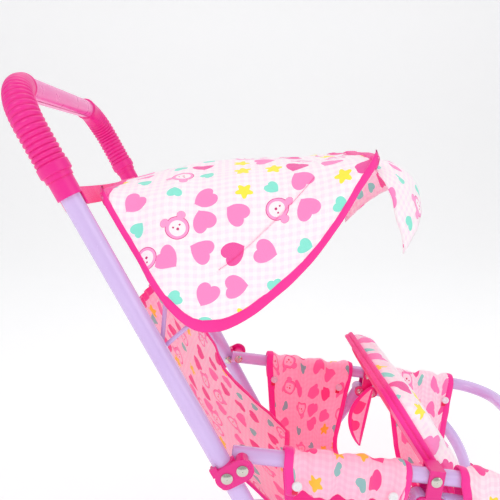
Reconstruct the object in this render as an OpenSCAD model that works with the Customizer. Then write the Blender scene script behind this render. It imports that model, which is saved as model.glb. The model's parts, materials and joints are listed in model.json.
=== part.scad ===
// Folding twin doll stroller: steel tube frame, two fabric seats in line and a hooded canopy.
// +X is forward, +Z is up. The origin is on the floor, under the middle of the stroller.

/* [Handle] */
// Distance between the centrelines of the two handle tubes
frame_w = 275; // [255:1:330]
// Outside diameter of the handle tube
handle_d = 16; // [14:0.1:19.2]
// Wall thickness of every steel tube
tube_wall = 1; // [0.8:0.1:1.3]
// Lean of the handle tubes, back from upright, in degrees
handle_lean = 27.4; // [24:0.1:31]
// Length along the handle tubes from the rail pivot up to the crossbar
handle_up = 348; // [325:1:420]
// Bend radius of the handle's two upper corners
handle_bend = 40; // [32:1:46]
// Distance along the handle tubes from the rail pivot up to the lower end of the grips
grip_from = 272; // [262:1:278]
// Wall of the grips between their ribs
grip_t = 2.75; // [2:0.05:4]
// Height of the ribs above the grips
rib_h = 1.5; // [0.8:0.1:2]
// Number of ribs on each grip
rib_count = 22; // [12:1:23]
// Distance from one rib to the next
rib_pitch = 4.2; // [3.8:0.1:4.4]
// Wall of the sleeve on the crossbar
sleeve_t = 1.75; // [1.2:0.05:2.5]
// Wall of the collars under the grips
collar_t = 2; // [1.4:0.1:3]
// Length of the collars under the grips
collar_len = 19; // [12:1:22]

/* [Seat rail] */
// Outside diameter of the seat rail tube
rail_d = 14; // [12:0.1:16.8]
// Slope of the seat rail, down towards the front, in degrees
rail_slope = 7.9; // [5:0.1:10]
// Length of the seat rail from its pivot to the middle of the front bumper
rail_len = 317; // [305:1:360]
// Bend radius of the rail's two front corners
rail_bend = 42; // [32:1:50]
// How far the rail's cut end reaches behind its pivot
rail_tail = 8; // [7:0.5:9]
// Distance of the rail pivot in front of the handle tube's surface
pivot_reach = 6; // [5.5:0.1:8]
// Distance along the rail from its pivot to the leg bracket
leg_bracket_at = 165.6; // [160:0.5:172]

/* [Legs] */
// Outside diameter of the leg tubes
leg_d = 14; // [12:0.5:15]
// Distance between the rear and front leg pivots
leg_pivot_gap = 16; // [15.5:0.5:20]
// Depth of the leg pivots below the rail's centreline
leg_pivot_drop = 22; // [20:0.5:26]
// Angle of the rear legs from upright, in degrees
rear_leg_lean = 33; // [30:0.5:36]
// Direction of a front leg where it starts, in degrees below level
front_leg_start = 5; // [3:0.5:8]
// Direction of a front leg where it ends, in degrees below level
front_leg_end = 82; // [78:0.5:86]
// Diameter of the two steel cross rods
rod_d = 8; // [6:0.5:9]

/* [Wheels] */
// Diameter of the wheels
wheel_d = 90; // [76:1:108]
// Width of one wheel
wheel_w = 12; // [9:0.5:15]
// Radial thickness of the tyres
tyre_t = 8; // [5:0.5:10]
// Diameter of the wheel axles
axle_d = 5; // [4:0.5:6]
// Distance of the front axles behind their swivel
caster_trail = 12; // [8:0.5:14]
// Height of the rail pivot above the tops of the wheels
pivot_over_wheels = 195; // [190:1:230]

/* [Canopy] */
// Diameter of the canopy's wire bows
bow_d = 3.8; // [3:0.1:4]
// Distance along the handle tubes from the rail pivot up to the bow pivots
bow_pivot_up = 114; // [106:1:122]
// Length of the front bow
front_bow_len = 228; // [215:1:232]
// Angle of the front bow above level, in degrees
front_bow_angle = 41; // [39:0.5:43]
// Length of the middle bow
mid_bow_len = 140; // [130:1:142]
// Angle of the middle bow above level, in degrees
mid_bow_angle = 84; // [80:0.5:88]
// Bend radius of the bows' upper corners
bow_bend = 60; // [50:1:75]
// Thickness of the canopy cloth with its lining
canopy_t = 2.4; // [1.8:0.1:3]

/* [Seats] */
// Thickness of the seat cloth with its lining
seat_t = 3; // [2:0.1:4]
// Depth of the rear seat below its rail
rear_seat_depth = 98; // [80:1:112]
// Thickness of the rear backrest
rear_back_t = 6; // [4:0.5:8]
// Height of the rear backrest above the rail pivot, along the handle tubes
rear_back_up = 147; // [135:1:160]
// Thickness of the stiff front backrest
front_back_t = 8; // [6:0.5:10]
// Recline of the front backrest, in degrees from upright
front_back_lean = 32; // [27:0.1:34]
// Height of the front backrest above the rail, along its slope
front_back_up = 82; // [70:1:95]
// Distance of the front backrest ahead of the leg bracket, where it crosses the rail
front_back_ahead = 10; // [6:0.5:14]

/* [Hardware] */
// Diameter of the rivet shanks
rivet_d = 5; // [4:0.5:5.5]
// Diameter of the rivet heads
rivet_head_d = 9.5; // [8:0.5:11]
// Thickness of the plastic brackets
bracket_t = 2.6; // [2:0.1:3]
// Width of the hinge brackets
bracket_w = 19; // [16:0.5:21]

/* [Hidden] */
$fn = 48;

left = 1;
right = -1;
eps = 0.01;
far = 1000;

// Clearances
run = 0.05;          // radial play of a pin in its hole
side_gap = 0.3;      // gap between flat faces that slide on each other
cloth_gap = 0.8;     // gap between cloth and what it passes

// Sizes of what fits on the handle tube
grip_d = handle_d + 2 * grip_t;
rib_d = grip_d + 2 * rib_h;
sleeve_d = handle_d + 2 * sleeve_t;
collar_d = handle_d + 2 * collar_t;
pivot_ahead = handle_d / 2 + pivot_reach;

// Stack of parts across the stroller
handle_y = frame_w / 2;
rail_y = handle_y - handle_d / 2 - rail_d / 2 - 1;
seat_wall_y = rail_y - max(rail_d, leg_d) / 2 - cloth_gap;
plate_out_y = rail_y + max(rail_d, leg_d) / 2 + side_gap;
plate_in_y = rail_y - max(rail_d, leg_d) / 2 - side_gap;
head_h = 2;
seat_half_w = plate_in_y - bracket_t - head_h - cloth_gap;

// Height and place of the rail pivot
pivot_z = wheel_d + pivot_over_wheels;
wheel_r = wheel_d / 2;

// Leg pivots, from the rail pivot
function along_rail(s, n) = [s * cos(rail_slope) + n * sin(rail_slope),
    -s * sin(rail_slope) + n * cos(rail_slope)];
rear_pivot = along_rail(leg_bracket_at - leg_pivot_gap / 2, -leg_pivot_drop);
front_pivot = along_rail(leg_bracket_at + leg_pivot_gap / 2, -leg_pivot_drop);
axle_drop = pivot_z - wheel_r;
rear_leg_len = (axle_drop + rear_pivot[1]) / cos(rear_leg_lean);
rear_axle_x = rear_pivot[0] - rear_leg_len * sin(rear_leg_lean);

// Where a rear leg crosses the handle tube: the cross rod and its lock hooks
handle_shift = pivot_ahead / cos(handle_lean);
cross_z = -(rear_pivot[0] + handle_shift - rear_pivot[1] * tan(rear_leg_lean))
    / (tan(handle_lean) + tan(rear_leg_lean));
cross_x = -handle_shift - cross_z * tan(handle_lean);
rod_along_leg = (rear_pivot[1] - cross_z) / cos(rear_leg_lean);
rod_down_handle = -(cross_z * cos(handle_lean) - cross_x * sin(handle_lean));
// Direction in which the rod leaves its hooks as the frame folds
rear_leg_ratio = 0.45;    // turn of the rear legs on the rail, for each degree of the frame's fold
fold_share = 1 - rear_leg_ratio;
leave_x = -rear_pivot[1] + fold_share * (rear_pivot[1] - cross_z);
leave_z = rear_pivot[0] + fold_share * (cross_x - rear_pivot[0]);
leave_angle = atan2(leave_z, leave_x) - handle_lean;

// Front legs and casters: each leg is one arc, from its pivot down to the caster's socket
flange_h = 3;
wheel_clear = 3;
socket_h = 15;
socket_d = leg_d + 5;
socket_z = wheel_d + wheel_clear + flange_h + side_gap;
leg_end_z = socket_z + socket_h + 2;
leg_drop = pivot_z + front_pivot[1] - leg_end_z;
front_leg_bend = leg_drop / (cos(front_leg_start) - cos(front_leg_end));
leg_reach = front_leg_bend * (sin(front_leg_end) - sin(front_leg_start));
swivel_x = front_pivot[0] + leg_reach + 2;
stem_d = 8;
front_axle_x = swivel_x - caster_trail;

// Wheel pair: two wheels on one axle, either side of a narrow carrier
carrier_w = 10;
wheel_y = carrier_w / 2 + 0.8 + wheel_w / 2;
axle_half = wheel_y + wheel_w / 2;
axle_head_t = 2.5;
hub_d = 18;
// The rear pairs stand inside the handle tubes, which they pass as the frame folds
rear_wheels_y = handle_y - handle_d / 2 - 1 - axle_half - axle_head_t;
foot_h = 12;
rear_tube_len = rear_leg_len - wheel_r - wheel_clear - foot_h;

// Overall length, which puts the origin under the middle
bar_x = -pivot_ahead * cos(handle_lean) - handle_up * sin(handle_lean);
rear_x = bar_x - grip_d / 2;
front_x = max(front_axle_x + wheel_r, rail_len * cos(rail_slope) + rail_d / 2);
pivot_x = -(rear_x + front_x) / 2;

// Canopy bows
front_bow_y = handle_y - handle_d / 2 - bow_d / 2 - 0.4;
mid_bow_y = front_bow_y - bow_d - 0.4;
bow_pivot = [-pivot_ahead * cos(handle_lean) - bow_pivot_up * sin(handle_lean),
    -pivot_ahead * sin(handle_lean) + bow_pivot_up * cos(handle_lean)];
front_bow_tip = bow_pivot + front_bow_len * [cos(front_bow_angle), sin(front_bow_angle)];
mid_bow_tip = bow_pivot + mid_bow_len * [cos(mid_bow_angle), sin(mid_bow_angle)];

// ---------------------------------------------------------------- frames of reference

module at_pivot() { translate([pivot_x, 0, pivot_z]) children(); }
// +Z runs up along the handle tubes
module handle_frame() { at_pivot() rotate([0, -handle_lean, 0]) children(); }
// +X runs forward along the seat rail
module rail_frame() { at_pivot() rotate([0, rail_slope, 0]) children(); }
module on_side(side) { scale([1, side, 1]) children(); }
module both_sides() {
    children();
    mirror([0, 1, 0]) children();
}
// A cylinder across the stroller, from y0 to y1
module cross_cyl(d, y0, y1) { translate([0, y1, 0]) rotate([90, 0, 0]) cylinder(h = y1 - y0, d = d); }

// A domed rivet: shank from y0 to y1, a head outside each end
module rivet(d, head_d, y0, y1) {
    cross_cyl(d, y0 - eps, y1 + eps);
    for (end = [[y0, 1], [y1, -1]])
        translate([0, end[0], 0]) rotate([90 * end[1], 0, 0])
            rotate_extrude() intersection() {
                translate([0, head_h - head_d]) circle(head_d);
                square([head_d / 2, head_h]);
            }
}

// Round tube along an arch: up at y = half_w, over at z = top, and down again
module arch(d, half_w, bottom, top, bend) {
    both_sides() {
        translate([0, half_w, bottom]) cylinder(h = top - bend - bottom, d = d);
        translate([0, half_w - bend, top - bend]) rotate([90, 0, 90])
            rotate_extrude(angle = 90) translate([bend, 0]) circle(d = d);
    }
    translate([0, 0, top]) cross_cyl(d, bend - half_w, half_w - bend);
}

// ---------------------------------------------------------------- handle and its trim

module handle_tube() {
    color([0.82, 0.74, 0.94]) handle_frame() difference() {
        translate([-pivot_ahead, 0, 0])
            arch(handle_d, handle_y, 12 - rod_down_handle, handle_up, handle_bend);
        translate([-pivot_ahead, 0, 0])
            arch(handle_d - 2 * tube_wall, handle_y, -rod_down_handle, handle_up, handle_bend);
        both_sides() {
            translate([-pivot_ahead, 0, 0]) cross_cyl(rivet_d, 0, far);
            translate([-pivot_ahead, 0, bow_pivot_up])
                cross_cyl(rivet_d - 1, 0, handle_y);
        }
    }
}

// Ribbed grip over the top of one handle tube and round its bend
module grip(side) {
    top = handle_up - handle_bend;
    straight = top - grip_from;
    cuff_h = 8;
    color([0.93, 0.2, 0.55]) handle_frame() on_side(side) difference() {
        translate([-pivot_ahead, 0, 0]) union() {
            translate([0, handle_y, grip_from]) cylinder(h = straight, d = grip_d);
            translate([0, handle_y - handle_bend, top]) rotate([90, 0, 90])
                rotate_extrude(angle = 90) translate([handle_bend, 0]) circle(d = grip_d);
            translate([0, handle_y, grip_from]) cylinder(h = cuff_h, d = rib_d + 1);
            for (i = [2 : rib_count]) {
                s = i * rib_pitch;
                turn = max(0, (s - straight) / handle_bend * 180 / PI);
                fade = max(0, i - rib_count + 5) / 6;
                translate([0, handle_y - handle_bend, min(grip_from + s, top)])
                    rotate([turn, 0, 0]) translate([0, handle_bend, 0])
                    cylinder(h = rib_pitch * 0.55, d = rib_d - (rib_d - grip_d) * fade, center = true);
            }
        }
        translate([-pivot_ahead, 0, 0]) arch(handle_d, handle_y, 0, handle_up, handle_bend);
    }
}

module collar(side) {
    color([1, 0.42, 0.72]) handle_frame() on_side(side)
        translate([-pivot_ahead, handle_y, grip_from - collar_len]) difference() {
            union() {
                cylinder(h = collar_len, d = collar_d);
                translate([0, 0, collar_len - 4]) cylinder(h = 4, d = collar_d + 2);
            }
            translate([0, 0, -1]) cylinder(h = collar_len + 2, d = handle_d);
        }
}

// Split sleeve on the crossbar, its slit underneath
module handle_sleeve() {
    half = handle_y - handle_bend;
    slit = 0.8;
    color([1, 0.5, 0.78]) handle_frame() translate([-pivot_ahead, 0, handle_up]) difference() {
        cross_cyl(sleeve_d, -half, half);
        cross_cyl(handle_d, -half - 1, half + 1);
        translate([-slit / 2, -half - 1, -sleeve_d]) cube([slit, 2 * half + 2, sleeve_d]);
    }
}

// Plate and saddle that carry the rail pivot on the handle tube
module hinge_bracket(side) {
    out_y = handle_y + handle_d / 2;
    boss_d = 2 * (pivot_ahead - handle_d / 2) - 1;
    tab = 6;
    color([0.95, 0.15, 0.55]) handle_frame() on_side(side) difference() {
        union() {
            for (x = [-pivot_ahead, 0])
                translate([x, 0, 0]) cross_cyl(bracket_w, out_y, out_y + bracket_t);
            translate([-pivot_ahead, out_y, -bracket_w / 2])
                cube([pivot_ahead, bracket_t, bracket_w]);
            translate([-pivot_ahead - bracket_w / 2, out_y, bracket_w / 4])
                cube([tab, bracket_t, bracket_w / 4 + tab / 2]);
            intersection() {
                translate([-pivot_ahead, handle_y, -bracket_w / 2])
                    cylinder(h = bracket_w, d = handle_d + 2 * bracket_t);
                translate([-far / 2, handle_y - 2, -far / 2]) cube(far);
            }
            cross_cyl(boss_d, plate_out_y, out_y + bracket_t);
        }
        translate([-pivot_ahead, handle_y, -bracket_w]) cylinder(h = 2 * bracket_w, d = handle_d);
        cross_cyl(rivet_d, 0, far);
        translate([-pivot_ahead, 0, 0]) cross_cyl(rivet_d, 0, far);
    }
}

module bracket_rivets() {
    color("silver") handle_frame() both_sides() translate([-pivot_ahead, 0, 0])
        rivet(rivet_d, rivet_head_d, handle_y - handle_d / 2 - 0.2, handle_y + handle_d / 2 + bracket_t);
}

module rail_pivot_rivets() {
    color("silver") handle_frame() both_sides()
        rivet(rivet_d, rivet_head_d, plate_in_y, handle_y + handle_d / 2 + bracket_t);
}

// Snap hook in the lower end of a handle tube, open the way the rod swings out
module lock_hook(side) {
    plug = handle_d - 2 * tube_wall;
    hook_w = handle_d - 2;
    hook_d = rod_d + 9;
    slot = rod_d + 1;
    color([0.93, 0.2, 0.55]) handle_frame() on_side(side)
        translate([-pivot_ahead, handle_y, -rod_down_handle]) difference() {
            union() {
                translate([0, 0, 4]) cylinder(h = 8, d = handle_d);
                translate([0, 0, 11]) cylinder(h = 14, d = plug);
                cross_cyl(hook_d, -hook_w / 2, hook_w / 2);
            }
            cross_cyl(rod_d + 0.6, -far, far);
            rotate([0, -leave_angle, 0]) translate([0, -far / 2, -slot / 2])
                cube([far, far, slot]);
        }
}

module bow_rivets() {
    inner_y = mid_bow_y - bow_d / 2 - side_gap;
    head_d = rivet_head_d - 1.5;
    // The blind head seats where the tube's round bore is as wide as the head
    seat_y = handle_y - sqrt(pow(handle_d / 2 - tube_wall, 2) - pow(head_d / 2, 2)) + run;
    color("silver") handle_frame() both_sides() translate([-pivot_ahead, 0, bow_pivot_up])
        rivet(rivet_d - 1, head_d, inner_y, seat_y);
}

// ---------------------------------------------------------------- canopy

// A wire bow in the plane at an angle above level, with a flat eye at each end
module bow(len, angle, y, bend) {
    eye_d = 9;
    at_pivot() translate([bow_pivot[0], 0, bow_pivot[1]]) rotate([0, 90 - angle, 0])
        difference() {
            union() {
                arch(bow_d, y, 0, len, bend);
                both_sides() cross_cyl(eye_d, y - bow_d / 2, y + bow_d / 2);
            }
            cross_cyl(rivet_d - 1 + 2 * run, -far, far);
        }
}

module canopy_front_bow() {
    color([0.85, 0.75, 0.95]) bow(front_bow_len, front_bow_angle, front_bow_y, bow_bend);
}

module canopy_mid_bow() {
    color([0.85, 0.75, 0.95]) bow(mid_bow_len, mid_bow_angle, mid_bow_y, bow_bend);
}

// A closed sheet between two grids of points, each a list of rows
module sheet(outer, inner) {
    rows = len(outer);
    cols = len(outer[0]);
    half = rows * cols;
    function at(layer, i, j) = layer * half + i * cols + j;
    skin = [for (i = [0 : rows - 2], j = [0 : cols - 2], layer = [0, 1], k = [0, 1])
        let (a = at(layer, i, j), b = at(layer, i + 1, j), c = at(layer, i + 1, j + 1),
            d = at(layer, i, j + 1), f = k == 0 ? [a, b, c] : [a, c, d])
        layer == 0 ? f : [f[2], f[1], f[0]]];
    ends = [for (i = [0, rows - 1], j = [0 : cols - 2], k = [0, 1])
        let (a = at(0, i, j), b = at(0, i, j + 1), c = at(1, i, j + 1), d = at(1, i, j),
            f = k == 0 ? [a, b, c] : [a, c, d])
        i == 0 ? f : [f[2], f[1], f[0]]];
    edges = [for (j = [0, cols - 1], i = [0 : rows - 2], k = [0, 1])
        let (a = at(0, i, j), b = at(0, i + 1, j), c = at(1, i + 1, j), d = at(1, i, j),
            f = k == 0 ? [a, b, c] : [a, c, d])
        j == 0 ? [f[2], f[1], f[0]] : f];
    points = concat([for (row = outer) each row], [for (row = inner) each row]);
    polyhedron(points, concat(skin, ends, edges));
}

// Canopy outline, from the rail pivot: place along the stroller, top, hem and half width.
// The places are tied to the rear edge, the middle bow and the front bow.
rear_edge = [-(grip_from - collar_len - 12) * sin(handle_lean) - pivot_ahead * cos(handle_lean) + 14,
    (grip_from - collar_len - 12) * cos(handle_lean) - pivot_ahead * sin(handle_lean)];
// The roof's rise over the middle bow, so that the bow's round corners clear the cloth
corner_gap = 1.4;
mid_bow_hang = mid_bow_tip[1] - bow_pivot[1] - 16;
mid_bow_room = front_bow_y + 11 - canopy_t;
function corner_rise(t) = let (y = mid_bow_y - bow_bend + bow_bend * sin(t))
    mid_bow_hang * (1 - pow(1 - pow(y / mid_bow_room, 4), 0.25)) - bow_bend * (1 - cos(t));
roof_lift = corner_gap + max([for (t = [0 : 5 : 60]) corner_rise(t)]);
roof_z = [[rear_edge[0], rear_edge[1] + 14], [(rear_edge[0] + mid_bow_tip[0]) / 2, mid_bow_tip[1] - 2],
    [mid_bow_tip[0], mid_bow_tip[1] + bow_d / 2 + canopy_t + roof_lift],
    [mid_bow_tip[0] + 80, (mid_bow_tip[1] + front_bow_tip[1]) / 2 + bow_d / 2 + canopy_t + 3],
    [front_bow_tip[0] + 2, front_bow_tip[1] + bow_d / 2 + canopy_t + cloth_gap]];
hem_z = [[rear_edge[0], rear_edge[1] + 11], [rear_edge[0] + 30, rear_edge[1] - 43],
    [bow_pivot[0] + 20, bow_pivot[1] + 20], [bow_pivot[0] + 35, bow_pivot[1] + 16],
    [bow_pivot[0] + 62, bow_pivot[1] + 22], [bow_pivot[0] + 94, bow_pivot[1] + 46],
    [bow_pivot[0] + 118, bow_pivot[1] + 66], [front_bow_tip[0] - 28, front_bow_tip[1] - 42],
    [front_bow_tip[0] + 2, front_bow_tip[1] + 2]];
side_y = [[rear_edge[0], front_bow_y - 4], [rear_edge[0] + 40, front_bow_y + 5],
    [bow_pivot[0], front_bow_y + 11], [bow_pivot[0] + 60, front_bow_y + 14],
    [front_bow_tip[0] - 34, front_bow_y + 7], [front_bow_tip[0] - 16, front_bow_y],
    [front_bow_tip[0] + 2, front_bow_y - 9]];
boxy = 0.5;

function canopy_point(x, v, inset) =
    let (top = lookup(x, roof_z) - inset, hem = min(lookup(x, hem_z), top),
        half = lookup(x, side_y) - inset, turn = 90 * abs(v))
    [x, sign(v) * half * pow(sin(turn), boxy), hem + (top - hem) * pow(cos(turn), boxy)];

module canopy_cover() {
    rows = 26;
    cols = 14;
    step = (front_bow_tip[0] + 2 - rear_edge[0]) / rows;
    function grid(inset) = [for (i = [0 : rows]) [for (j = [-cols : cols])
        canopy_point(rear_edge[0] + i * step, j / cols, inset)]];
    color([1, 0.78, 0.87]) at_pivot() sheet(grid(0), grid(canopy_t));
}

// Drooping peak sewn to the canopy's front edge
module canopy_visor() {
    reach = 54;
    droop = 36;
    half = front_bow_y - 14;
    function at(i, j, t) = let (a = i / 8 * 90, v = j / 10)
        [front_bow_tip[0] + 3 + reach * sin(a) * (1 - 0.5 * v * v),
        half * v * (1 + 0.06 * sin(a)),
        front_bow_tip[1] + 5 - droop * (1 - cos(a)) - 26 * v * v * sin(a) - t];
    function grid(t) = [for (i = [0 : 8]) [for (j = [-10 : 10]) at(i, j, t)]];
    color([1, 0.85, 0.92]) at_pivot() sheet(grid(0), grid(canopy_t));
}

// ---------------------------------------------------------------- seat rail

module seat_rail() {
    color([0.85, 0.76, 0.96]) rail_frame() difference() {
        rotate([0, 90, 0]) arch(rail_d, rail_y, -rail_tail, rail_len, rail_bend);
        rotate([0, 90, 0]) arch(rail_d - 2 * tube_wall, rail_y, -rail_tail - 1, rail_len, rail_bend);
        both_sides() {
            cross_cyl(rivet_d + 2 * run, 0, far);
            translate([leg_bracket_at, 0, 0]) cross_cyl(rivet_d, 0, far);
        }
    }
}

// Saddle over the rail with ears that carry both leg pivots
module leg_bracket(side) {
    saddle_w = 13;
    ear_r = rivet_head_d / 2 + 1.5;
    over = rail_d / 2 + bracket_t;
    color([0.95, 0.15, 0.55]) rail_frame() translate([leg_bracket_at, 0, 0]) on_side(side)
        difference() {
            union() {
                for (y0 = [plate_out_y, plate_in_y - bracket_t]) {
                    translate([-saddle_w / 2, y0, -leg_pivot_drop])
                        cube([saddle_w, bracket_t, leg_pivot_drop + over]);
                    for (x = [-1, 1]) translate([x * leg_pivot_gap / 2, 0, -leg_pivot_drop])
                        cross_cyl(2 * ear_r, y0, y0 + bracket_t);
                    translate([-leg_pivot_gap / 2, y0, -leg_pivot_drop - ear_r])
                        cube([leg_pivot_gap, bracket_t, 2 * ear_r]);
                }
                translate([-saddle_w / 2, plate_in_y - bracket_t, rail_d / 2])
                    cube([saddle_w, plate_out_y - plate_in_y + 2 * bracket_t, bracket_t]);
            }
            cross_cyl(rivet_d, 0, far);
            for (x = [-1, 1]) translate([x * leg_pivot_gap / 2, 0, -leg_pivot_drop])
                cross_cyl(rivet_d, 0, far);
        }
}

module leg_bracket_rivets() {
    color("silver") rail_frame() both_sides() translate([leg_bracket_at, 0, 0])
        rivet(rivet_d, rivet_head_d, plate_in_y - bracket_t, plate_out_y + bracket_t);
}

module leg_pivot_rivets() {
    color("silver") rail_frame() both_sides() for (x = [-1, 1])
        translate([leg_bracket_at + x * leg_pivot_gap / 2, 0, -leg_pivot_drop])
            rivet(rivet_d, rivet_head_d - 1, plate_in_y - bracket_t, plate_out_y + bracket_t);
}

// ---------------------------------------------------------------- seats

// Cloth trough hung from the rail: side panels and a floor, open to the front and back.
// Its outline is in the rail's plane.
module sling(outline, floor_z) {
    wall_y = seat_wall_y;
    inner_y = wall_y - seat_t;
    difference() {
        translate([0, wall_y, 0]) rotate([90, 0, 0]) linear_extrude(2 * wall_y) polygon(outline);
        translate([-far, -inner_y, floor_z + seat_t]) cube([2 * far, 2 * inner_y, far]);
    }
}

// Cloth sleeve folded over a stretch of rail, joined to the side panel below it
module rail_sleeves(s0, s1) {
    wall_y = seat_wall_y;
    both_sides() difference() {
        union() {
            translate([s0, rail_y, 0]) rotate([0, 90, 0])
                cylinder(h = s1 - s0, d = rail_d + 2 * seat_t);
            translate([s0, wall_y - seat_t, -rail_d / 2 - seat_t])
                cube([s1 - s0, seat_t, rail_d / 2 + seat_t]);
        }
        translate([s0 - 1, rail_y, 0]) rotate([0, 90, 0])
            cylinder(h = s1 - s0 + 2, d = rail_d + 0.4);
    }
}

rear_sleeve = [36, leg_bracket_at - 22];
front_sleeve = [leg_bracket_at + 22, rail_len - rail_bend - 2];

module rear_seat() {
    s0 = rear_sleeve[0];
    s1 = rear_sleeve[1];
    deep = -rear_seat_depth;
    color([1, 0.6, 0.8]) rail_frame() {
        sling([[s0, -2], [s1, -2], [s1 - 6, deep], [s0 + 20, deep]], deep);
        rail_sleeves(s0, s1);
    }
}

front_seat_depth = rear_seat_depth + 4;

module front_seat() {
    s0 = front_sleeve[0];
    s1 = front_sleeve[1];
    deep = -front_seat_depth;
    color([1, 0.6, 0.8]) rail_frame() {
        sling([[s0, -2], [s1, -2], [s1 + 4, deep], [s0 + 30, deep]], deep);
        rail_sleeves(s0, s1);
    }
}

// Stiff backrest of the front seat. It crosses the rail just ahead of the leg brackets.
back_tilt = front_back_lean + rail_slope;
back_at = leg_bracket_at + front_back_ahead;

module front_backrest() {
    foot_gap = 6;
    down = (front_seat_depth - seat_t - foot_gap) / cos(back_tilt);
    color([0.98, 0.45, 0.7]) rail_frame() translate([back_at, 0, 0])
        rotate([0, -back_tilt, 0]) translate([-front_back_t / 2, -seat_half_w, -down])
            cube([front_back_t, 2 * seat_half_w, down + front_back_up]);
}

module rear_backrest() {
    upper_half = mid_bow_y - bow_d / 2 - side_gap - head_h - cloth_gap;
    color([1, 0.72, 0.85]) handle_frame() {
        translate([-pivot_ahead - rear_back_t / 2, -upper_half, 22])
            cube([rear_back_t, 2 * upper_half, rear_back_up - 22]);
        translate([-pivot_ahead - rear_back_t / 2, -seat_half_w, 22 - 112])
            cube([rear_back_t, 2 * seat_half_w, 113]);
    }
}

// Press snaps that close the seat sleeves under the rail. One stands clear of the front backrest.
snap_d = 9;
snap_down = rail_d / 2 + 8;
snap_past_back = back_at + snap_down * tan(back_tilt)
    + (front_back_t / 2 + snap_d / 2 + 0.25) / cos(back_tilt);

module seat_snaps() {
    wall_y = seat_wall_y - seat_t;
    for (s = [rear_sleeve[0] + 12, rear_sleeve[1] - 14, max(front_sleeve[0] + 12, snap_past_back),
        front_sleeve[1] - 6])
        color("white") rail_frame() both_sides() translate([s, wall_y - 2.2, -snap_down])
            rotate([-90, 0, 0]) cylinder(h = 2.2, d = snap_d);
}

// ---------------------------------------------------------------- rear legs

// +X runs down along the rear leg from its pivot
module rear_leg_frame() {
    at_pivot() translate([rear_pivot[0], 0, rear_pivot[1]])
        rotate([0, 90 + rear_leg_lean, 0]) children();
}

module rear_leg(side) {
    tube_len = rear_tube_len;
    color([0.85, 0.76, 0.96]) rear_leg_frame() on_side(side) difference() {
        union() {
            translate([0, rail_y, 0]) rotate([0, 90, 0]) cylinder(h = tube_len, d = leg_d);
            cross_cyl(leg_d, rail_y - leg_d / 2, rail_y + leg_d / 2);
        }
        translate([8, rail_y, 0]) rotate([0, 90, 0])
            cylinder(h = tube_len, d = leg_d - 2 * tube_wall);
        cross_cyl(rivet_d + 2 * run, 0, far);
        translate([rod_along_leg, 0, 0]) cross_cyl(rod_d, 0, far);
    }
}

cap_h = 4;
cap_grip = 2.8;       // how far the rod stands in its cap
rod_half = handle_y + handle_d / 2 + side_gap + cap_grip;

module rear_cross_rod() {
    color("silver") at_pivot() translate([cross_x, 0, cross_z]) cross_cyl(rod_d, -rod_half, rod_half);
}

module rod_cap() {
    difference() {
        cross_cyl(rod_d + 4, 0, cap_h);
        cross_cyl(rod_d, -1, cap_grip);
    }
}

module rear_rod_caps() {
    color([0.95, 0.15, 0.55]) at_pivot() both_sides()
        translate([cross_x, rod_half - cap_grip, cross_z]) rod_cap();
}

// Plug in the leg's end, and a blade that steps in and runs down between the wheels to the axle
module rear_foot(side) {
    blade_w = 16;
    plug_len = 22;
    blade_y = rear_wheels_y - carrier_w / 2;
    foot_end = rear_tube_len + foot_h;
    color([0.93, 0.2, 0.55]) rear_leg_frame() on_side(side) difference() {
        union() {
            translate([rear_tube_len - plug_len, rail_y, 0]) rotate([0, 90, 0])
                cylinder(h = plug_len + 1, d = leg_d - 2 * tube_wall);
            translate([rear_tube_len, blade_y, -blade_w / 2])
                cube([foot_h, rail_y + leg_d / 2 - blade_y, blade_w]);
            translate([foot_end - 2, blade_y, -blade_w / 2])
                cube([rear_leg_len - foot_end + 2, carrier_w, blade_w]);
            translate([rear_leg_len, 0, 0]) cross_cyl(blade_w, blade_y, blade_y + carrier_w);
        }
        translate([rear_leg_len, 0, 0]) cross_cyl(axle_d + 2 * run, 0, far);
        translate([rod_along_leg, 0, 0]) cross_cyl(rod_d, 0, far);
    }
}

// ---------------------------------------------------------------- wheels

// Everything of one wheel pair is drawn about its axle
module wheel_place(x, y) { translate([pivot_x + x, y, wheel_r]) children(); }

module wheel_pair() {
    for (s = [-1, 1]) translate([0, s * wheel_y, 0]) rotate([90, 0, 0]) children();
}

module wheels(x, y) {
    rim_r = wheel_r - tyre_t;
    color([0.95, 0.25, 0.6]) wheel_place(x, y) wheel_pair() difference() {
        union() {
            rotate_extrude() translate([rim_r - 5, -wheel_w / 2 + 1]) square([5, wheel_w - 2]);
            cylinder(h = 3, r = rim_r - 1, center = true);
            cylinder(h = wheel_w, d = hub_d, center = true);
        }
        cylinder(h = 2 * wheel_w, d = axle_d, center = true);
        for (i = [0 : 4]) rotate(i * 72) translate([(rim_r - 5 + hub_d / 2) / 2, 0, 0])
            cylinder(h = wheel_w, d = (rim_r - 5 - hub_d / 2) * 0.72, center = true);
    }
}

module tyres(x, y) {
    color([0.95, 0.93, 0.96]) wheel_place(x, y) wheel_pair() rotate_extrude() difference() {
        union() {
            translate([wheel_r - tyre_t, -wheel_w / 2]) square([tyre_t - 3, wheel_w]);
            translate([wheel_r - 3, 0]) scale([3 / (wheel_w / 2), 1]) circle(d = wheel_w);
        }
        translate([0, -wheel_w]) square([wheel_r - tyre_t, 2 * wheel_w]);
    }
}

module axle(x, y) {
    color("silver") wheel_place(x, y) {
        cross_cyl(axle_d, -axle_half, axle_half);
        for (s = [0, 1]) mirror([0, s, 0]) cross_cyl(12, axle_half, axle_half + axle_head_t);
    }
}

// ---------------------------------------------------------------- front legs and casters

// The front leg's pivot
module front_leg_frame() {
    at_pivot() translate([front_pivot[0], 0, front_pivot[1]]) children();
}

// The place on a front leg's centreline where it points a number of degrees below level
module on_front_leg(angle) {
    front_leg_frame() rotate([0, front_leg_start, 0]) translate([0, 0, -front_leg_bend])
        rotate([0, angle - front_leg_start, 0]) translate([0, 0, front_leg_bend]) children();
}

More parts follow.
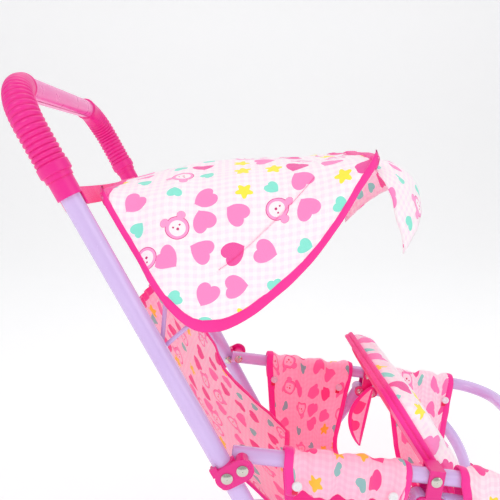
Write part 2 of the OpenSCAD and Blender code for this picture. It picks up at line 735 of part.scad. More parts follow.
// The leg's arc, between two directions below level
module front_leg_arc(d, from, to) {
    on_front_leg(from) translate([0, rail_y, -front_leg_bend]) rotate([-90, 0, 0])
        rotate([0, 0, -90]) rotate_extrude(angle = to - from)
        translate([front_leg_bend, 0]) circle(d = d);
}

front_rod_at = front_leg_end - 4;
front_rod_half = rail_y + leg_d / 2 + 6;

module front_leg(side) {
    solid_start = 3;
    color([0.85, 0.76, 0.96]) on_side(side) difference() {
        union() {
            front_leg_arc(leg_d, front_leg_start, front_leg_end);
            front_leg_frame() cross_cyl(leg_d, rail_y - leg_d / 2, rail_y + leg_d / 2);
        }
        front_leg_arc(leg_d - 2 * tube_wall, front_leg_start + solid_start, front_leg_end + 1);
        front_leg_frame() cross_cyl(rivet_d + 2 * run, 0, far);
        on_front_leg(front_rod_at) cross_cyl(rod_d, 0, far);
    }
}

module front_cross_rod() {
    color("silver") on_front_leg(front_rod_at) cross_cyl(rod_d, -front_rod_half, front_rod_half);
}

// Swivel socket pressed on a front leg's end
module caster_socket(side) {
    color([0.93, 0.2, 0.55]) on_side(side) difference() {
        union() {
            on_front_leg(front_leg_end) translate([-20, rail_y, 0]) rotate([0, 90, 0])
                cylinder(h = 24, d = socket_d);
            translate([pivot_x + swivel_x, rail_y, socket_z])
                cylinder(h = socket_h + 6, d = socket_d + 1);
        }
        front_leg_arc(leg_d, front_leg_start + 30, front_leg_end);
        on_front_leg(front_rod_at) cross_cyl(rod_d, 0, far);
        translate([pivot_x + swivel_x, rail_y, socket_z - 1])
            cylinder(h = socket_h, d = stem_d + 2 * run);
    }
}

module caster_fork(side) {
    arm_r = 8;
    color([0.93, 0.2, 0.55]) translate([pivot_x, side * rail_y, 0]) difference() {
        union() {
            translate([swivel_x, 0, socket_z - side_gap - flange_h]) {
                cylinder(h = flange_h, d = socket_d + 1);
                cylinder(h = flange_h + side_gap + socket_h - 2, d = stem_d);
            }
            translate([0, carrier_w / 2, 0]) rotate([90, 0, 0]) linear_extrude(carrier_w)
                hull() {
                    translate([front_axle_x, wheel_r]) circle(arm_r);
                    translate([swivel_x - arm_r, socket_z - side_gap - flange_h - 1])
                        square([2 * arm_r, 1]);
                }
            translate([front_axle_x, 0, wheel_r]) cross_cyl(2 * arm_r, -carrier_w / 2, carrier_w / 2);
        }
        translate([front_axle_x, 0, wheel_r]) cross_cyl(axle_d + 2 * run, -far, far);
    }
}

// ---------------------------------------------------------------- drawing, one node at a time

handle_tube();
grip(left);  // grip_left
grip(right);  // grip_right
collar(left);  // collar_left
collar(right);  // collar_right
handle_sleeve();
hinge_bracket(left);  // hinge_bracket_left
hinge_bracket(right);  // hinge_bracket_right
bracket_rivets();
rail_pivot_rivets();
lock_hook(left);  // lock_hook_left
lock_hook(right);  // lock_hook_right
bow_rivets();
rear_backrest();
canopy_cover();
canopy_visor();
canopy_front_bow();
canopy_mid_bow();
seat_rail();
leg_bracket(left);  // leg_bracket_left
leg_bracket(right);  // leg_bracket_right
leg_bracket_rivets();
leg_pivot_rivets();
rear_seat();
front_seat();
front_backrest();
seat_snaps();
rear_leg(left);  // rear_leg_left
rear_leg(right);  // rear_leg_right
rear_cross_rod();
rear_rod_caps();
rear_foot(left);  // rear_foot_left
rear_foot(right);  // rear_foot_right
wheels(rear_axle_x, rear_wheels_y);  // rear_wheels_left
tyres(rear_axle_x, rear_wheels_y);  // rear_tyres_left
axle(rear_axle_x, rear_wheels_y);  // rear_axle_left
wheels(rear_axle_x, -rear_wheels_y);  // rear_wheels_right
tyres(rear_axle_x, -rear_wheels_y);  // rear_tyres_right
axle(rear_axle_x, -rear_wheels_y);  // rear_axle_right
front_leg(left);  // front_leg_left
front_leg(right);  // front_leg_right
front_cross_rod();
caster_socket(left);  // caster_socket_left
caster_socket(right);  // caster_socket_right
caster_fork(left);  // caster_fork_left
caster_fork(right);  // caster_fork_right
wheels(front_axle_x, rail_y);  // front_wheels_left
tyres(front_axle_x, rail_y);  // front_tyres_left
axle(front_axle_x, rail_y);  // front_axle_left
wheels(front_axle_x, -rail_y);  // front_wheels_right
tyres(front_axle_x, -rail_y);  // front_tyres_right
axle(front_axle_x, -rail_y);  // front_axle_right
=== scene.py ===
import json
import math

import bmesh
import bpy
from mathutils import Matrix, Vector, noise


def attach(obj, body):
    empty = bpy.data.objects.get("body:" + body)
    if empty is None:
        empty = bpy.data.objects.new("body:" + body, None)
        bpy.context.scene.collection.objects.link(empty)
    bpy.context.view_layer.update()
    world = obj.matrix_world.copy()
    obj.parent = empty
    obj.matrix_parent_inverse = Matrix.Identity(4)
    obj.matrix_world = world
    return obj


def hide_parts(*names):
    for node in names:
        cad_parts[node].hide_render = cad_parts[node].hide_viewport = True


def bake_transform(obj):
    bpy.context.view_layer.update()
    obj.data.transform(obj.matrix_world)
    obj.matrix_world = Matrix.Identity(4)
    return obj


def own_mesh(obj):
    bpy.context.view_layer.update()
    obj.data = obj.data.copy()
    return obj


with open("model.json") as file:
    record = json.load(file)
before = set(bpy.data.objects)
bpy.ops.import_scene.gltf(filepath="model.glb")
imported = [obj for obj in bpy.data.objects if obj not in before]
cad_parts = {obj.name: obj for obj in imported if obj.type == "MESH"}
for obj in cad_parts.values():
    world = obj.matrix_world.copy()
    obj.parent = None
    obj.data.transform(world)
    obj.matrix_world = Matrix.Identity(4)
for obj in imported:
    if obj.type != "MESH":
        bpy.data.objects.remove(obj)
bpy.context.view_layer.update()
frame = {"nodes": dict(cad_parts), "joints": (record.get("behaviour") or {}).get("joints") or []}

# ---------------------------------------------------------------- sizes, in millimetres from the rail pivot
MM = 0.001
HANDLE_LEAN = math.radians(27.4)
RAIL_SLOPE = math.radians(7.9)
HANDLE_X = -14          # the handle tubes' centreline, in the handle's own frame
HANDLE_Y = 137.5
HANDLE_UP = 348
HANDLE_BEND = 40
GRIP_FROM = 272
COLLAR_LEN = 19
TUBE_R = 8
RAIL_Y = 121.5
RAIL_R = 7
FRONT_BOW_TIP = (107.2, 244.35)
SEAT_WALL_Y = 111.4     # the seats' side panels
CLOTH_T = 0.9
BINDING_W = 8
BINDING_T = 2.4
BOARD_AT = 175.6        # where the front backrest crosses the rail
BOARD_LEAN = math.radians(32)
BOARD_HALF_W = 106
BOARD_UP = 78
BOARD_DOWN = 116
BOARD_T = 5
BOARD_RISE = Vector((-math.sin(BOARD_LEAN), 0, math.cos(BOARD_LEAN)))
BOARD_FACE = Vector((math.cos(BOARD_LEAN), 0, math.sin(BOARD_LEAN)))

joints = {joint["name"]: joint for joint in frame["joints"]}
PIVOT = Vector(joints["frame_fold"]["pos_m"])


def at_pivot(x, y, z):
    return PIVOT + Vector((x, y, z)) * MM


def on_handle(x, y, z):
    """z runs up along the handle tubes."""
    cos, sin = math.cos(HANDLE_LEAN), math.sin(HANDLE_LEAN)
    return at_pivot(x * cos - z * sin, y, x * sin + z * cos)


def on_rail(s, y, n):
    """s runs forward along the seat rail, and n up from it."""
    cos, sin = math.cos(RAIL_SLOPE), math.sin(RAIL_SLOPE)
    return at_pivot(s * cos + n * sin, y, -s * sin + n * cos)


def on_board(y, up, out):
    """A place on the front backrest: up along it, and out from its middle plane towards the front."""
    foot = on_rail(BOARD_AT, 0, 0)
    return foot + Vector((0, y * MM, 0)) + BOARD_RISE * up * MM + BOARD_FACE * out * MM


def heading(place, *step):
    """The direction of a step in one of the frames above."""
    return (place(*step) - place(0, 0, 0)).normalized()


# ---------------------------------------------------------------- materials
def rgb(red, green, blue):
    """A screen colour, from 0 to 255, as the linear colour that a shader takes."""
    return tuple((c / 255) ** 2.2 for c in (red, green, blue)) + (1.0,)


MIX_INPUTS = (0, 6, 7)      # a colour Mix node's sockets for its share and its two colours
MIX_OUTPUT = 2


class Shader:
    """One procedural material, with the arithmetic that its pattern needs."""

    def __init__(self, name, **fixed):
        self.material = bpy.data.materials.new(name)
        self.material.use_nodes = True
        self.nodes = self.material.node_tree.nodes
        self.links = self.material.node_tree.links
        self.surface = self.nodes["Principled BSDF"]
        for socket, value in fixed.items():
            self.surface.inputs[socket.replace("_", " ")].default_value = value

    def feed(self, socket, value):
        if isinstance(value, bpy.types.NodeSocket):
            self.links.new(value, socket)
        else:
            socket.default_value = value

    def node(self, kind, inputs=(), **settings):
        made = self.nodes.new("ShaderNode" + kind)
        for key, value in settings.items():
            setattr(made, key, value)
        for key, value in dict(inputs).items():
            self.feed(made.inputs[key], value)
        return made

    def math(self, operation, *values):
        made = self.node("Math", enumerate(values), operation=operation)
        return made.outputs[0]

    def mix(self, share, a, b, blend="MIX"):
        made = self.node("Mix", data_type="RGBA", blend_type=blend)
        for index, value in zip(MIX_INPUTS, (share, a, b)):
            self.feed(made.inputs[index], value)
        return made.outputs[MIX_OUTPUT]

    def noise(self, coords, scale, detail=2.0):
        made = self.node("TexNoise", {"Vector": coords, "Scale": scale, "Detail": detail})
        return made.outputs["Fac"]

    def object_coords(self):
        return self.node("TexCoord").outputs["Object"]

    def bump(self, height, distance):
        made = self.node("Bump", {"Height": height, "Distance": distance, "Strength": 0.6})
        self.links.new(made.outputs[0], self.surface.inputs["Normal"])


def moulded(name, colour, deep, roughness, grain, depth, **fixed):
    """Plastic, enamel or metal: a slightly uneven colour, a fine grain and worn gloss."""
    made = Shader(name, **fixed)
    coords = made.object_coords()
    cloud = made.noise(coords, 22.0)
    made.feed(made.surface.inputs["Base Color"], made.mix(cloud, rgb(*deep), rgb(*colour)))
    smudge = made.noise(coords, 90.0, 4.0)
    gloss = made.math("MULTIPLY_ADD", smudge, 0.18, roughness - 0.09)
    made.feed(made.surface.inputs["Roughness"], gloss)
    made.bump(made.noise(coords, grain, 3.0), depth)
    return made.material


def heart(made, x, y):
    """1 inside a heart about two units wide."""
    xx = made.math("MULTIPLY", x, x)
    yy = made.math("MULTIPLY", y, y)
    ring = made.math("SUBTRACT", made.math("ADD", xx, yy), 1.0)
    cube = made.math("MULTIPLY", made.math("MULTIPLY", ring, ring), ring)
    lobes = made.math("MULTIPLY", xx, made.math("MULTIPLY", yy, y))
    return made.math("LESS_THAN", made.math("SUBTRACT", cube, lobes), 0.0)


def star(made, x, y):
    """1 inside a plump five-pointed star."""
    reach = made.math("SQRT", made.math("ADD", made.math("MULTIPLY", x, x), made.math("MULTIPLY", y, y)))
    wave = made.math("COSINE", made.math("MULTIPLY", made.math("ARCTAN2", y, x), 5.0))
    return made.math("LESS_THAN", reach, made.math("MULTIPLY_ADD", wave, 0.2, 0.78))


def disc(made, x, y, cx, cy, r):
    """Distance from a centre, as a share of a radius."""
    dx = made.math("SUBTRACT", x, cx)
    dy = made.math("SUBTRACT", y, cy)
    gap = made.math("SQRT", made.math("ADD", made.math("MULTIPLY", dx, dx), made.math("MULTIPLY", dy, dy)))
    return made.math("DIVIDE", gap, r)


def animal_face(made, x, y, base):
    """The base colour with a plain round animal face on it, with two ears."""
    side = made.math("ABSOLUTE", x)
    head = disc(made, x, y, 0.0, -0.1, 0.82)
    shape = made.math("MINIMUM", head, disc(made, side, y, 0.62, 0.6, 0.3))
    inside = made.math("LESS_THAN", shape, 1.0)
    colour = made.mix(made.math("LESS_THAN", shape, 0.93), rgb(225, 80, 150), rgb(255, 160, 212))
    muzzle = made.math("LESS_THAN", disc(made, x, y, 0.0, -0.14, 0.56), 1.0)
    colour = made.mix(muzzle, colour, rgb(255, 244, 249))
    eyes = made.math("LESS_THAN", disc(made, side, y, 0.24, 0.02, 0.07), 1.0)
    nose = made.math("LESS_THAN", disc(made, x, y, 0.0, -0.2, 0.1), 1.0)
    colour = made.mix(made.math("MAXIMUM", eyes, nose), colour, rgb(205, 60, 120))
    return made.mix(inside, base, colour)


MOTIF_GAP = 0.0262      # metres between the print's motifs
CHECK = 0.0031          # metres across one gingham check


def print_colour(made, coords, pink_shade):
    """Pale gingham with scattered hearts, stars and animal faces, each turned its own way.
    The last argument, from 0 to 1, multiplies it towards pink: painted pink shade, as cloth has in the shade
    of the pink cloth round it."""
    flat = made.node("SeparateXYZ", {0: coords})
    waves = [made.math("SINE", made.math("MULTIPLY", flat.outputs[k], math.pi / CHECK)) for k in (0, 1)]
    bands = [made.math("GREATER_THAN", wave, 0.0) for wave in waves]
    check = made.math("MULTIPLY", made.math("ADD", *bands), 0.5)
    base = made.mix(check, rgb(255, 248, 252), rgb(255, 232, 243))
    cells = made.node("TexVoronoi", {"Vector": coords, "Scale": 1 / MOTIF_GAP, "Randomness": 0.5},
                      voronoi_dimensions="2D")
    pick = made.node("SeparateColor", {0: cells.outputs["Color"]})
    from_centre = made.node("VectorMath", {0: coords, 1: cells.outputs["Position"]}, operation="SUBTRACT")
    turn = made.math("MULTIPLY", pick.outputs[0], 2 * math.pi)
    spun = made.node("VectorRotate", {"Vector": from_centre.outputs[0], "Angle": turn},
                     rotation_type="Z_AXIS")
    place = made.node("SeparateXYZ", {0: spun.outputs[0]})

    def scaled(radius):
        return [made.math("DIVIDE", place.outputs[k], radius) for k in (0, 1)]

    def chosen(low, high):
        above = made.math("GREATER_THAN", pick.outputs[1], low)
        return made.math("MULTIPLY", above, made.math("LESS_THAN", pick.outputs[1], high))

    rose = made.mix(made.math("GREATER_THAN", pick.outputs[2], 0.55), rgb(255, 138, 200), rgb(245, 88, 165))
    for low, high, shape, radius, colour in (
            (0.0, 0.42, heart, 0.0082, rose),
            (0.42, 0.61, heart, 0.0052, rgb(140, 236, 216)),
            (0.61, 0.75, star, 0.0076, rgb(255, 240, 70))):
        inside = made.math("MULTIPLY", shape(made, *scaled(radius)), chosen(low, high))
        base = made.mix(inside, base, colour)
    face = animal_face(made, *scaled(0.0112), base)
    base = made.mix(chosen(0.75, 1.01), base, face)
    # painted shade: the print multiplied towards pink, as in the shade among pink cloth
    if pink_shade:
        base = made.mix(pink_shade, base, rgb(255, 84, 156), "MULTIPLY")
    return base


def colour_cloth(made, colour, glow):
    """Thin cloth lets some light through, which the glow stands for."""
    made.feed(made.surface.inputs["Base Color"], colour)
    made.feed(made.surface.inputs["Emission Color"], colour)
    made.feed(made.surface.inputs["Emission Strength"], glow)


def woven(made, coords):
    """Thread and creases in the cloth's surface."""
    thread = made.noise(coords, 1400.0, 1.0)
    crease = made.noise(coords, 38.0, 3.0)
    made.bump(made.math("MULTIPLY_ADD", crease, 5.0, thread), 0.0006)


def printed_cloth(name, pink_shade=0.0):
    made = Shader(name, Roughness=0.78, Sheen_Weight=0.25, Sheen_Roughness=0.5)
    coords = made.node("UVMap", uv_map="cloth").outputs[0]
    # the glow stands for light through the cloth, and is raised where pink shade is painted
    colour_cloth(made, print_colour(made, coords, pink_shade), 0.1 + 0.25 * pink_shade)
    woven(made, coords)
    return made.material


def plain_cloth(name, colour, deep, roughness=0.7):
    made = Shader(name, Roughness=roughness, Sheen_Weight=0.3, Sheen_Roughness=0.45)
    coords = made.object_coords()
    cloud = made.noise(coords, 30.0, 3.0)
    colour_cloth(made, made.mix(cloud, rgb(*deep), rgb(*colour)), 0.16)
    woven(made, coords)
    return made.material


def backrest_cloth(name):
    """Print in front of the backrest's middle plane, and plain cloth behind it, paler at each side."""
    made = Shader(name, Roughness=0.74, Sheen_Weight=0.28, Sheen_Roughness=0.5)
    coords = made.object_coords()
    along = [made.node("VectorMath", {0: coords, 1: axis}, operation="DOT_PRODUCT").outputs["Value"]
             for axis in ((0, 1, 0), BOARD_RISE, BOARD_FACE)]
    flat = made.node("CombineXYZ", {0: along[0], 1: along[1]}).outputs[0]
    plain = made.mix(made.noise(coords, 30.0, 3.0), rgb(246, 26, 126), rgb(255, 40, 142))
    at_side = made.math("GREATER_THAN", made.math("ABSOLUTE", along[0]), 0.082)
    plain = made.mix(at_side, plain, rgb(255, 150, 200))
    in_front = made.math("GREATER_THAN", along[2], on_board(0, 0, 0).dot(BOARD_FACE))
    colour_cloth(made, made.mix(in_front, plain, print_colour(made, flat, 0.0)), 0.12)
    woven(made, coords)
    return made.material


ENAMEL = moulded("lilac_enamel", (226, 200, 250), (214, 184, 242), 0.24, 60.0, 0.0002, Coat_Weight=0.6)
HOT_PLASTIC = moulded("hot_pink_plastic", (250, 38, 150), (236, 24, 136), 0.3, 160.0, 0.0002, Coat_Weight=0.2)
GRIP_PLASTIC = moulded("grip_plastic", (255, 48, 160), (246, 30, 140), 0.36, 220.0, 0.0003)
PALE_PLASTIC = moulded("light_pink_plastic", (255, 112, 196), (252, 92, 182), 0.3, 30.0, 0.00005,
                       Coat_Weight=0.2)
NICKEL = moulded("nickel", (226, 224, 214), (196, 194, 184), 0.2, 300.0, 0.0001, Metallic=1.0)
FOAM = moulded("foam_tyre", (244, 238, 246), (228, 220, 234), 0.72, 420.0, 0.0008)
SNAP_WHITE = moulded("white_snap", (252, 250, 252), (240, 236, 242), 0.26, 200.0, 0.0001)
TAB_RED = plain_cloth("red_tab", (240, 30, 84), (212, 20, 70))
HOT_CLOTH = plain_cloth("hot_pink_cloth", (255, 44, 146), (244, 28, 128))
TAPE = plain_cloth("binding_tape", (250, 52, 158), (238, 34, 140), 0.55)
CANOPY_PRINT = printed_cloth("canopy_print")
# These two get painted pink shade multiplied into their print: the seats more, the front seat and rear
# backrest less.
PINK_SHADED_SEAT_PRINT = printed_cloth("seat_print", pink_shade=0.5)
PINK_SHADED_FRONT_PRINT = printed_cloth("front_seat_print", pink_shade=0.22)
BOARD_CLOTH = backrest_cloth("backrest_cloth")


# ---------------------------------------------------------------- mesh makers
def make_object(name, mesh, materials, outward=True):
    """A smooth object from a bmesh, which it frees. outward turns a closed form's faces outward."""
    if outward:
        bmesh.ops.recalc_face_normals(mesh, faces=mesh.faces)
    data = bpy.data.meshes.new(name)
    mesh.to_mesh(data)
    mesh.free()
    made = bpy.data.objects.new(name, data)
    bpy.context.scene.collection.objects.link(made)
    for material in materials:
        data.materials.append(material)
    for face in data.polygons:
        face.use_smooth = True
    return made


def apply_modifiers(piece):
    graph = bpy.context.evaluated_depsgraph_get()
    mesh = bpy.data.meshes.new_from_object(piece.evaluated_get(graph))
    piece.modifiers.clear()
    piece.data = mesh


def resample(points, count):
    """The same line through count + 1 points, spaced evenly."""
    lengths = [0.0]
    for a, b in zip(points, points[1:]):
        lengths.append(lengths[-1] + (b - a).length)
    out, k = [], 0
    for i in range(count + 1):
        want = lengths[-1] * i / count
        while k < len(points) - 2 and lengths[k + 1] < want:
            k += 1
        span = lengths[k + 1] - lengths[k] or 1.0
        out.append(points[k].lerp(points[k + 1], (want - lengths[k]) / span))
    return out


def normal_at(rows, i, j):
    row = rows[i]
    along = row[min(j + 1, len(row) - 1)] - row[max(j - 1, 0)]
    across = rows[min(i + 1, len(rows) - 1)][j] - rows[max(i - 1, 0)][j]
    return along.cross(across).normalized()


def crumple(rows, depth, size, seed):
    """The sheet with soft wrinkles: depth and size are in millimetres."""
    shift = Vector((seed, seed * 0.7, 0))
    return [[p + normal_at(rows, i, j) * depth * MM * noise.noise((p / (size * MM)) + shift)
             for j, p in enumerate(row)] for i, row in enumerate(rows)]


def wrinkled(rows, *layers):
    """The sheet crumpled once for each layer, which is a (depth, size, seed)."""
    for layer in layers:
        rows = crumple(rows, *layer)
    return rows


def cloth_sheet(name, rows, face, back, thick=CLOTH_T, even=False):
    """A sheet of cloth through rows of points. Its cloth map is its flat cut, in metres.
    even gives every row the same places across, for cloth that puckers along its length."""
    mesh = bmesh.new()
    layer = mesh.loops.layers.uv.new("cloth")
    grid = [[mesh.verts.new(p) for p in row] for row in rows]
    middle = len(rows[0]) // 2
    measured = len(rows[0]) // 8 if even else middle
    up = [0.0]
    for a, b in zip(rows, rows[1:]):
        up.append(up[-1] + (b[measured] - a[measured]).length)
    across = []
    for row in rows:
        places = [0.0]
        for a, b in zip(row, row[1:]):
            places.append(places[-1] + (b - a).length)
        across.append([x - places[middle] for x in places])
    if even:
        across = [across[len(rows) // 2]] * len(rows)
    for i in range(len(rows) - 1):
        for j in range(len(rows[0]) - 1):
            corners = ((i, j), (i, j + 1), (i + 1, j + 1), (i + 1, j))
            made = mesh.faces.new([grid[a][b] for a, b in corners])
            for loop, (a, b) in zip(made.loops, corners):
                loop[layer].uv = (across[a][b], up[a])
    piece = make_object(name, mesh, [face, back], outward=False)
    solid = piece.modifiers.new("thickness", "SOLIDIFY")
    solid.thickness = thick * MM
    solid.offset = 0
    solid.material_offset = 1
    apply_modifiers(piece)
    return piece


def edge(rows, side):
    """A sheet's edge, as (point, direction into the cloth, normal)."""
    last, end = len(rows) - 1, len(rows[0]) - 1
    places = {"first": [(0, j, 1, j) for j in range(end + 1)],
              "last": [(last, j, last - 1, j) for j in range(end + 1)],
              "start": [(i, 0, i, 1) for i in range(last + 1)],
              "end": [(i, end, i, end - 1) for i in range(last + 1)]}[side]
    return [(rows[i][j], (rows[a][b] - rows[i][j]).normalized(), normal_at(rows, i, j))
            for i, j, a, b in places]


def skin_rings(mesh, rings):
    """Faces between one ring of points and the next, and across both ends."""
    count = len(rings[0])
    for a, b in zip(rings, rings[1:]):
        for k in range(count):
            n = (k + 1) % count
            mesh.faces.new((a[k], a[n], b[n], b[k]))
    mesh.faces.new(reversed(rings[0]))
    mesh.faces.new(rings[-1])


def bound_edges(name, edges, width=BINDING_W, thick=BINDING_T, material=TAPE):
    """Folded tape sewn over edges: a flat rounded tube along each."""
    mesh = bmesh.new()
    corners = 12
    for line in edges:
        rings = []
        for point, inward, normal in line:
            centre = point + inward * (width / 2 - 1.0) * MM
            ring = []
            for k in range(corners):
                turn = 2 * math.pi * k / corners
                wide = math.copysign(abs(math.cos(turn)) ** 0.6, math.cos(turn)) * width / 2
                deep = math.copysign(abs(math.sin(turn)) ** 0.6, math.sin(turn)) * thick / 2
                ring.append(mesh.verts.new(centre + inward * wide * MM + normal * deep * MM))
            rings.append(ring)
        skin_rings(mesh, rings)
    return make_object(name, mesh, [material])


def round_sweep(name, centres, sides, radii, material, segments=40):
    """A round loft: each ring has a centre, two directions across and a radius in millimetres."""
    mesh = bmesh.new()
    rings = []
    for centre, (u, v), r in zip(centres, sides, radii):
        rings.append([mesh.verts.new(centre + (u * math.cos(2 * math.pi * k / segments)
                      + v * math.sin(2 * math.pi * k / segments)) * r * MM) for k in range(segments)])
    skin_rings(mesh, rings)
    return make_object(name, mesh, [material])


def lookup(x, table):
    """Straight-line reading of a table of (place, value)."""
    if x <= table[0][0]:
        return table[0][1]
    for (a, p), (b, q) in zip(table, table[1:]):
        if x <= b:
            return p + (q - p) * (x - a) / (b - a)
    return table[-1][1]


def smooth_lookup(x, table, reach=9):
    """The table with its corners rounded over a distance."""
    steps = [-1, -0.5, 0, 0.5, 1]
    low, high = table[0][0], table[-1][0]
    room = min(reach, x - low, high - x)
    return sum(lookup(x + k * max(room, 0), table) for k in steps) / len(steps)


# ---------------------------------------------------------------- grips
CUFF_LEN = 9.0
CUFF_R = 12.6
CUFF_ROUND = 1.2        # the rounding of the cuff's two edges
RIB_PITCH = 4.2
RIB_ROOT_R = 10.3
RIB_HEIGHT = 1.9
FADE_LEN = 26           # where the ribs fade
PLAIN_LEN = 14          # past the last rib
PLAIN_RISE = 0.9
ROLL_LEN = 5            # the rolled end on the crossbar
ROLL_R = 11.6
ROLL_DROP = 0.8


def grip_line(side, s, straight):
    """The middle of a grip at a distance along it, and the way out from the handle's bend."""
    if s <= straight:
        return on_handle(HANDLE_X, side * HANDLE_Y, GRIP_FROM + s), Vector((0, side, 0))
    turn = (s - straight) / HANDLE_BEND
    middle_y, middle_z = HANDLE_Y - HANDLE_BEND, HANDLE_UP - HANDLE_BEND
    y = middle_y + HANDLE_BEND * math.cos(turn)
    centre = on_handle(HANDLE_X, side * y, middle_z + HANDLE_BEND * math.sin(turn))
    middle = on_handle(HANDLE_X, side * middle_y, middle_z)
    return centre, (centre - middle).normalized()


def grip_radius(s, total):
    if s > total - ROLL_LEN:
        return ROLL_R - ROLL_DROP * ((s - total + ROLL_LEN / 2) / (ROLL_LEN / 2)) ** 2
    if s < CUFF_LEN:
        start = max(0.0, 1 - s / CUFF_ROUND)
        end = max(0.0, (s - CUFF_LEN + CUFF_ROUND) / CUFF_ROUND)
        return CUFF_R - CUFF_ROUND * start ** 2 - CUFF_ROUND * end ** 2
    fade = min(1.0, max(0.0, (total - PLAIN_LEN - s) / FADE_LEN))
    wave = abs(math.sin(math.pi * (s - CUFF_LEN) / RIB_PITCH)) ** 0.5
    return RIB_ROOT_R + PLAIN_RISE * (1 - fade) + RIB_HEIGHT * wave * fade


def make_grip(side, name):
    """Ribbed grip: a cuff, rounded ribs that fade over the bend, and a rolled end on the crossbar."""
    straight = HANDLE_UP - HANDLE_BEND - GRIP_FROM
    total = straight + HANDLE_BEND * math.pi / 2
    across_x = heading(on_handle, 1, 0, 0)
    centres, sides, radii = [], [], []
    steps = 420
    for i in range(steps + 1):
        s = total * i / steps
        centre, outward = grip_line(side, s, straight)
        centres.append(centre)
        sides.append((across_x, outward))
        radii.append(grip_radius(s, total))
    grip = round_sweep(name, centres, sides, radii, GRIP_PLASTIC, 48)
    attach(grip, "frame")
    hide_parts(name.replace("ribbed_", ""))


# ---------------------------------------------------------------- canopy
REAR_X, REAR_Z = -109.3, 207.5
FRONT_X = 109.2
ROOF = [(REAR_X, 221.5), (-79.8, 232), (-50.3, 241), (29.7, 246.5), (FRONT_X, 249.5)]
HEM = [(REAR_X, 218.5), (-79.3, 164.5), (-44.9, 114.8), (-29.9, 110.8), (-2.9, 116.8), (29.1, 140.8),
       (53.1, 160.8), (79.2, 202.4), (FRONT_X, 246.4)]
SIDE = [(REAR_X, 123.2), (-69.3, 132.2), (-64.9, 138.2), (-4.9, 141.2), (73.2, 134.2), (91.2, 127.2),
        (FRONT_X, 118.2)]
BOXY = 0.5              # 1 would make the canopy's section an ellipse, and less makes it squarer
DART_FROM, DART_TO = -18, 61
DART_LOW, DART_RISE = 162, 73


def canopy_point(x, v):
    top, half = smooth_lookup(x, ROOF), smooth_lookup(x, SIDE)
    hem = min(smooth_lookup(x, HEM, 14), top)
    turn = math.pi / 2 * abs(v)
    y = math.copysign(half * math.sin(turn) ** BOXY, v)
    return at_pivot(x, y, hem + (top - hem) * max(0.0, math.cos(turn)) ** BOXY)


def dart_line(rows, side):
    """The dart sewn down a side of the canopy, from near the roof's front to behind the middle."""
    line, middle = [], len(rows[0]) // 2
    for i, row in enumerate(rows):
        x = (row[middle].x - PIVOT.x) / MM
        if not DART_FROM <= x <= DART_TO:
            continue
        share = (x - DART_FROM) / (DART_TO - DART_FROM)
        want = PIVOT.z + (DART_LOW + DART_RISE * share ** 1.15) * MM
        for k in range(middle - 1):
            a, b = middle + side * k, middle + side * (k + 1)
            if row[b].z <= want <= row[a].z:
                share = (row[a].z - want) / (row[a].z - row[b].z)
                normal = normal_at(rows, i, a)
                point = row[a].lerp(row[b], share)
                line.append((point, normal.orthogonal().normalized(), normal))
                break
    return line


def make_canopy():
    rows = []
    count, fine = 64, 160
    for i in range(count + 1):
        x = REAR_X + (FRONT_X - REAR_X) * i / count
        line = [canopy_point(x, math.sin(math.pi / 2 * k / fine)) for k in range(-fine, fine + 1)]
        rows.append(resample(line, 132))
    rows = wrinkled(rows, (4.6, 74, 3.1), (2.4, 30, 6.7), (0.9, 13, 8.4))
    cover = cloth_sheet("canopy_fabric", rows, HOT_CLOTH, CANOPY_PRINT)
    hems = [edge(rows, side) for side in ("start", "end", "first")]
    binding = bound_edges("canopy_binding", hems, 10.5, 2.8)
    front = bound_edges("canopy_front_binding", [edge(rows, "last")], 11, 4.2)
    dart = bound_edges("canopy_dart_seam", [dart_line(rows, side) for side in (-1, 1)], 1.2, 2.4)
    for piece in (cover, binding, front, dart):
        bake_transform(piece)
    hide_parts("canopy_cover")


def make_visor():
    """Drooping peak past the front bow, deeper at its sides."""
    reach, droop, side_droop, half = 56, 34, 44, 113
    rows = []
    for i in range(23):
        turn = math.pi / 2 * i / 22
        row = []
        for j in range(-36, 37):
            v = j / 36
            x = FRONT_BOW_TIP[0] + 2 + reach * math.sin(turn) * (1 - 0.62 * v ** 4)
            z = FRONT_BOW_TIP[1] + 4 - droop * (1 - math.cos(turn))
            z -= side_droop * v ** 4 * (0.3 + 0.7 * math.sin(turn))
            row.append(at_pivot(x, half * v * (1 + 0.05 * math.sin(turn)), z))
        rows.append(row)
    rows = wrinkled(rows, (3.4, 34, 12.2), (1.4, 12, 5.5))
    visor = cloth_sheet("canopy_visor_fabric", rows, CANOPY_PRINT, CANOPY_PRINT)
    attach(visor, "canopy_bow")
    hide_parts("canopy_visor")


def make_rear_band():
    """Pink band across the canopy's rear, and round the inner side of each handle tube under its collar."""
    z = GRIP_FROM - COLLAR_LEN - 9
    upward = heading(on_handle, 0, 0, 1)
    loops = []
    for side in (-1, 1):
        line = []
        for k in range(25):
            turn = math.pi * (0.08 + 0.84 * k / 24)
            out = on_handle(math.cos(turn), -side * math.sin(turn), 0) - on_handle(0, 0, 0)
            place = on_handle(HANDLE_X, side * HANDLE_Y, z) + out * (TUBE_R + 1.0)
            line.append((place, upward, out.normalized()))
        loops.append(line)
    ahead = heading(on_handle, 1, 0, 0)
    span = [(on_handle(HANDLE_X + 7, y, z - 3 * math.cos(math.pi * y / (2 * HANDLE_Y))), upward, ahead)
            for y in range(-131, 132, 4)]
    band = bound_edges("canopy_rear_band", loops + [span], 15, 1.4, HOT_CLOTH)
    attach(band, "frame")


